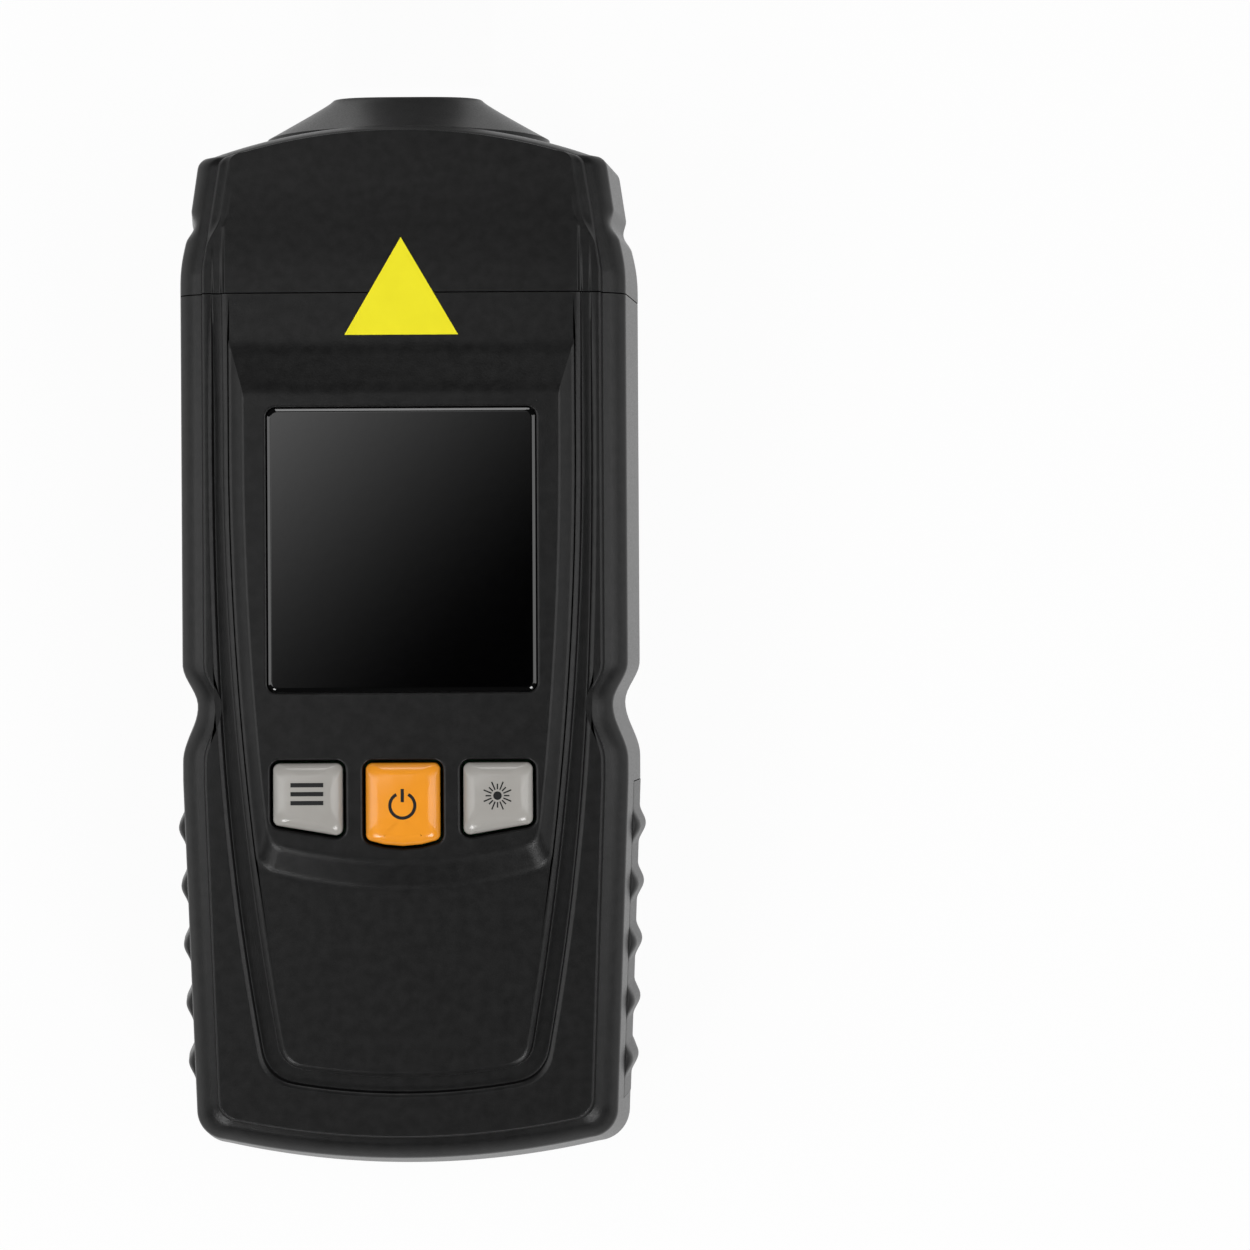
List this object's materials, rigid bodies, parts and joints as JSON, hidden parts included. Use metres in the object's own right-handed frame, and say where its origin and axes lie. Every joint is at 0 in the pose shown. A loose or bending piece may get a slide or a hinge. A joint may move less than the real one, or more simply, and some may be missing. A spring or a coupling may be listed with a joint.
{
  "type": "laser tachometer",
  "caption": "Hand-held non-contact tachometer: black waisted case with display, three keys, ribbed grips, tapered optical nose and a sliding battery door.",
  "frame": {"origin": "under the middle of the case on its flat back", "axes": "+Y out of the nose along the beam, +Z out of the front face, X across the case"},
  "size_m": [0.0572, 0.13, 0.038],
  "materials": {
    "case_black": "finely textured black ABS",
    "window_black": "polished smoked acrylic",
    "key_grey": "satin warm grey",
    "key_orange": "satin orange",
    "grip_rubber": "soft matt black",
    "marker_yellow": "printed vinyl",
    "nose_filter": "polished dark red filter",
    "lcd_glass": "polished",
    "clear_plastic": "clear acrylic",
    "white_plastic": "satin",
    "strip_rubber": "soft",
    "board_green": "lacquered laminate",
    "dark_plastic": "moulded",
    "bare_steel": "zinc plated",
    "capacitor_sleeve": "shrink sleeve",
    "filter_plastic": "dark epoxy",
    "brass_barrel": "turned",
    "lens_glass": "polished",
    "red_sleeve": "soft",
    "black_sleeve": "soft",
    "foam": "closed-cell foam",
    "battery_sleeve": "plain dark sleeve"
  },
  "bodies": {
    "case": {"front_shell": "case_black", "rear_shell": "case_black", "head_cap": "case_black", "display_window": "window_black", "side_grip_left": "grip_rubber", "side_grip_right": "grip_rubber", "beam_marker": "marker_yellow", "nose_window": "nose_filter", "battery": "battery_sleeve", "display_glass": "lcd_glass", "light_guide": "clear_plastic", "display_frame": "white_plastic", "contact_strips": "strip_rubber", "main_board": "board_green", "switch_housings": "dark_plastic", "microcontroller": "dark_plastic", "crystal": "bare_steel", "capacitors": "capacitor_sleeve", "sensor_board": "board_green", "photodiode": "filter_plastic", "optics_block": "dark_plastic", "laser_barrel": "brass_barrel", "laser_lens": "lens_glass", "receiver_lens": "lens_glass", "battery_snap": "dark_plastic", "red_lead": "red_sleeve", "black_lead": "black_sleeve", "battery_cushion": "foam", "case_screws": "bare_steel", "cap_screws": "bare_steel", "board_screws": "bare_steel", "optics_screws": "bare_steel"},
    "memory_button": {"memory_key": "key_grey", "memory_plunger": "dark_plastic"},
    "power_button": {"power_key": "key_orange", "power_plunger": "dark_plastic"},
    "laser_button": {"laser_key": "key_grey", "laser_plunger": "dark_plastic"},
    "door": {"battery_door": "case_black"}
  },
  "joints": [
    {"name": "memory_press", "type": "slide", "parent": "case", "child": "memory_button", "axis": [0, 0, -1], "range_m": [0, 0.0008], "stiffness_N_per_m": 800, "springref_m": -0.0004},
    {"name": "power_press", "type": "slide", "parent": "case", "child": "power_button", "axis": [0, 0, -1], "range_m": [0, 0.0008], "stiffness_N_per_m": 800, "springref_m": -0.0004},
    {"name": "laser_press", "type": "slide", "parent": "case", "child": "laser_button", "axis": [0, 0, -1], "range_m": [0, 0.0008], "stiffness_N_per_m": 800, "springref_m": -0.0004},
    {"name": "door_slide", "type": "slide", "parent": "case", "child": "door", "axis": [0, -1, 0], "range_m": [0, 0.056]}
  ]
}
